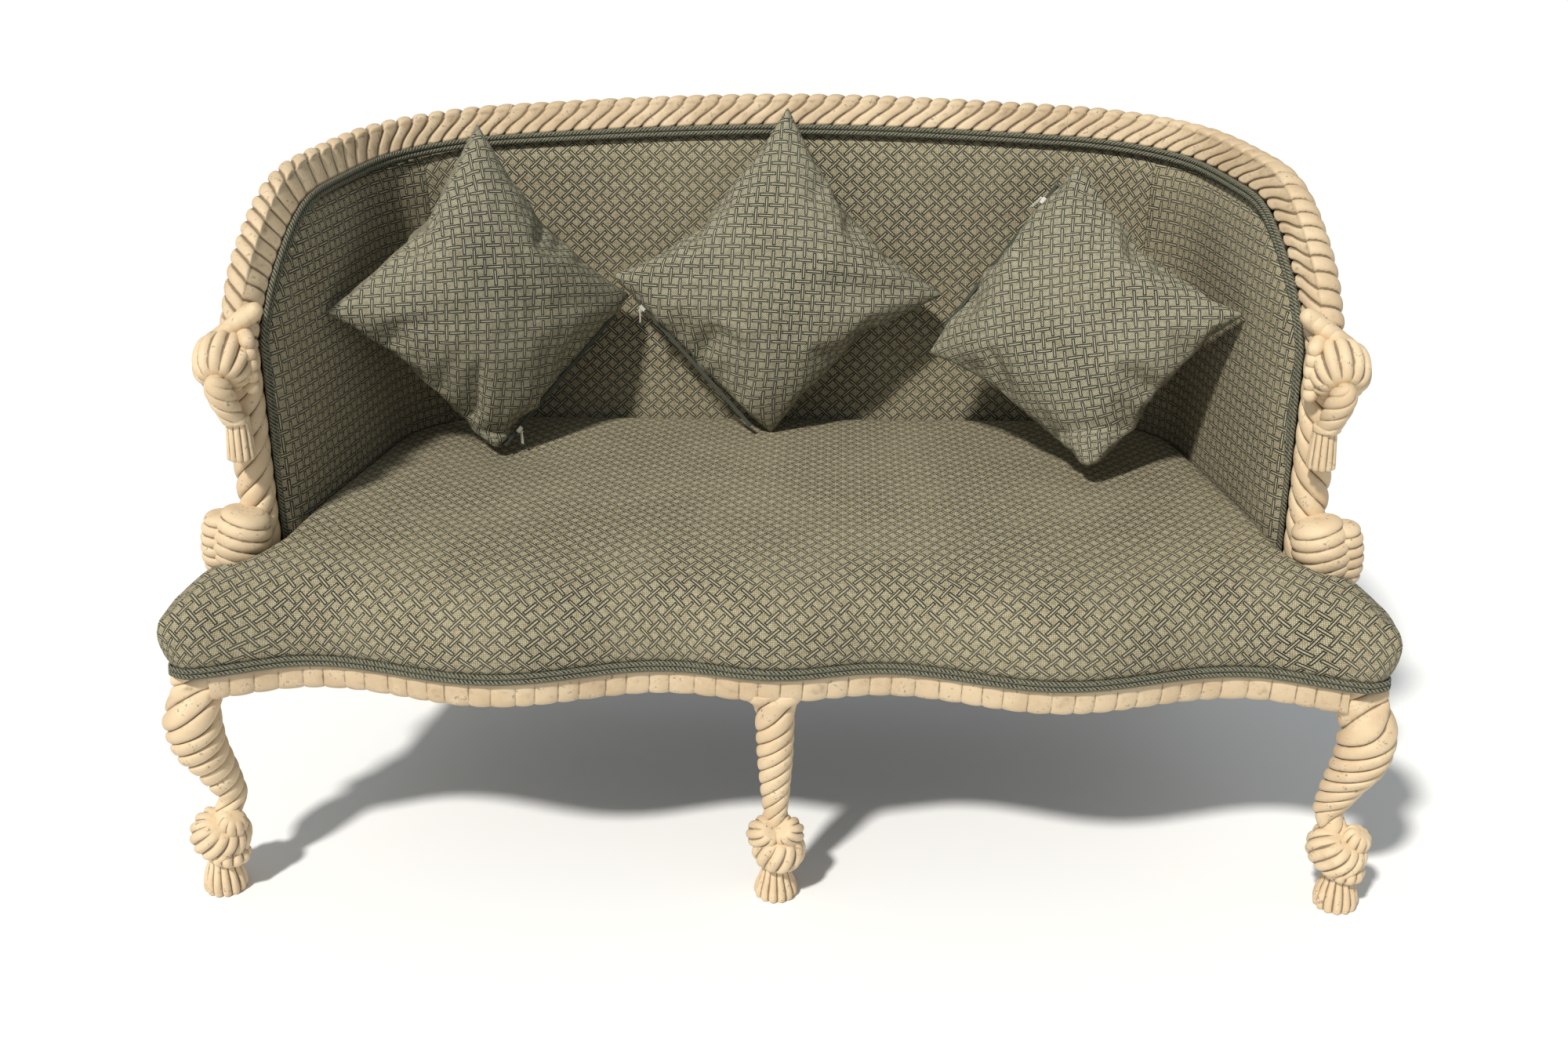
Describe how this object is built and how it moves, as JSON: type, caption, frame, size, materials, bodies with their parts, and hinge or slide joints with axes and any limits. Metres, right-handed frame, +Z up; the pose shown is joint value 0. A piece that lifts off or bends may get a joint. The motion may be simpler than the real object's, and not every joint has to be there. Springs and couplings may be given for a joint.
{
  "type": "loveseat",
  "caption": "Small two-seat sofa with a rope-carved show frame, serpentine seat, knotted posts and tassel feet, and loose square cushions.",
  "frame": {"origin": "middle of the bounding box on the floor, under the seat", "axes": "+X to the right seen from the front, +Y to the rear, +Z up"},
  "size_m": [1.4858, 0.6856, 0.8913],
  "materials": {
    "painted_wood": "distressed cream paint over carved wood",
    "timber": "plain sawn wood",
    "steel": "zinc-plated",
    "webbing": "jute webbing",
    "hessian": "coarse jute cloth",
    "padding": "felted padding",
    "seat_fabric": "woven basket-weave pattern, set diagonally",
    "inside_fabric": "woven basket-weave pattern, square to the floor",
    "dust_cloth": "thin black cloth",
    "cushion_fabric": "woven basket-weave pattern, set at 45 degrees to the sides",
    "zip_tape": "woven tape with a dark coil",
    "brass": "pale, aged"
  },
  "bodies": {
    "frame": {"crest_rail": "painted_wood", "arm_rail_left": "painted_wood", "arm_rail_right": "painted_wood", "arm_post_left": "painted_wood", "arm_post_right": "painted_wood", "arm_knot_left": "painted_wood", "arm_knot_right": "painted_wood", "arm_tassel_left": "painted_wood", "arm_tassel_right": "painted_wood", "post_knot_left": "painted_wood", "post_knot_right": "painted_wood", "post_tassel_left": "painted_wood", "post_tassel_right": "painted_wood", "front_apron": "painted_wood", "side_apron_left": "painted_wood", "side_apron_right": "painted_wood", "rear_apron": "painted_wood", "front_leg_left": "painted_wood", "front_leg_centre": "painted_wood", "front_leg_right": "painted_wood", "rear_leg_left": "painted_wood", "rear_leg_right": "painted_wood", "front_seat_rail": "timber", "side_seat_rail_left": "timber", "side_seat_rail_right": "timber", "back_seat_rail": "timber", "seat_cross_rails": "timber", "corner_blocks": "timber", "corner_screws": "steel", "back_uprights": "timber", "back_tacking_rail": "timber", "webbing_long": "webbing", "webbing_cross": "webbing", "seat_hessian": "hessian", "seat_padding": "padding", "seat_cover": "seat_fabric", "seat_welt": "seat_fabric", "ear_skirt_left": "seat_fabric", "ear_skirt_right": "seat_fabric", "inside_back": "seat_fabric", "inside_arm_left": "inside_fabric", "inside_arm_right": "inside_fabric", "outside_back": "seat_fabric", "outside_arm_left": "seat_fabric", "outside_arm_right": "seat_fabric", "back_welt": "seat_fabric", "dust_cover": "dust_cloth"},
    "cushion_left": {"cushion_left": "cushion_fabric", "zip_left": "zip_tape"},
    "slider_left": {"slider_left": "brass"},
    "pull_left": {"pull_left": "brass"},
    "cushion_centre": {"cushion_centre": "cushion_fabric", "zip_centre": "zip_tape"},
    "slider_centre": {"slider_centre": "brass"},
    "pull_centre": {"pull_centre": "brass"},
    "cushion_right": {"cushion_right": "cushion_fabric", "zip_right": "zip_tape"},
    "slider_right": {"slider_right": "brass"},
    "pull_right": {"pull_right": "brass"}
  },
  "joints": [
    {"name": "cushion_left_lift", "type": "slide", "parent": "frame", "child": "cushion_left", "axis": [0, 0, 1], "range_m": [0, 0.4]},
    {"name": "zip_left_slide", "type": "slide", "parent": "cushion_left", "child": "slider_left", "axis": [0.5914, 0.5172, 0.6187], "range_m": [-0.021, 0.203]},
    {"name": "pull_left_hinge", "type": "hinge", "parent": "slider_left", "child": "pull_left", "pos_m": [-0.36195, 0.11449, 0.4697], "axis": [0.573, -0.8093, 0.1288], "range_deg": [-39.4, 116.6]},
    {"name": "cushion_centre_lift", "type": "slide", "parent": "frame", "child": "cushion_centre", "axis": [0, 0, 1], "range_m": [0, 0.4]},
    {"name": "zip_centre_slide", "type": "slide", "parent": "cushion_centre", "child": "slider_centre", "axis": [0.6707, -0.1531, -0.7258], "range_m": [-0.01, 0.214]},
    {"name": "pull_centre_hinge", "type": "hinge", "parent": "slider_centre", "child": "pull_centre", "pos_m": [-0.20289, 0.20669, 0.6168], "axis": [0.0017, -0.9781, 0.2079], "range_deg": [-125.9, 30.1]},
    {"name": "cushion_right_lift", "type": "slide", "parent": "frame", "child": "cushion_right", "axis": [0, 0, 1], "range_m": [0, 0.4]},
    {"name": "zip_right_slide", "type": "slide", "parent": "cushion_right", "child": "slider_right", "axis": [-0.5969, -0.0561, -0.8003], "range_m": [-0.018, 0.206]},
    {"name": "pull_right_hinge", "type": "hinge", "parent": "slider_right", "child": "pull_right", "pos_m": [0.34098, 0.18451, 0.78018], "axis": [-0.4812, -0.7731, 0.4131], "range_deg": [-156, 0]}
  ]
}
